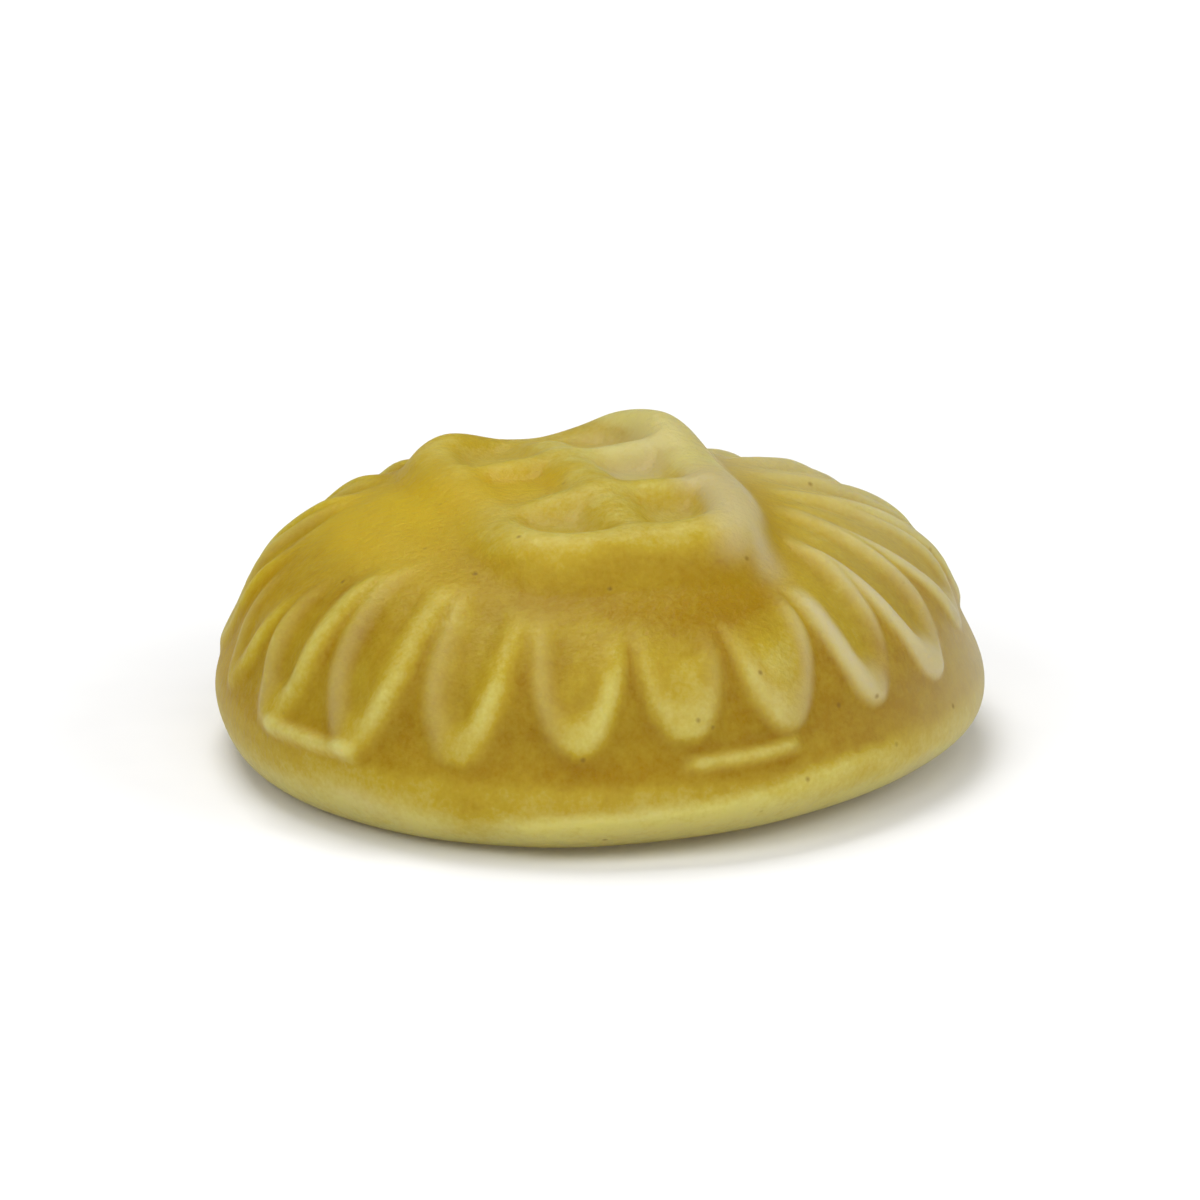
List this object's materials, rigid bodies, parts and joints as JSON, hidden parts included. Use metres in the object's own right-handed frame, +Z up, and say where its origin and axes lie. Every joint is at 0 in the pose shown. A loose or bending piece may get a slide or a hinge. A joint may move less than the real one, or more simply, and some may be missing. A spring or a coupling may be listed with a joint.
{
  "type": "fruit pastille",
  "caption": "Round moulded fruit gum: a low dome with hollow tongues in raised edges down its side, a framed lattice of bars on its crown, a smooth rim and a shallow dish underneath.",
  "frame": {"origin": "centre of the flat side that it lies on, on the surface that it stands on", "axes": "+Z up through the crown; -Y is the front, the side that the picture shows; +X to the right"},
  "size_m": [0.02, 0.0202, 0.0077],
  "materials": {
    "yellow_gum": "satin translucent"
  },
  "bodies": {
    "root": {"pastille": "yellow_gum"}
  },
  "joints": []
}
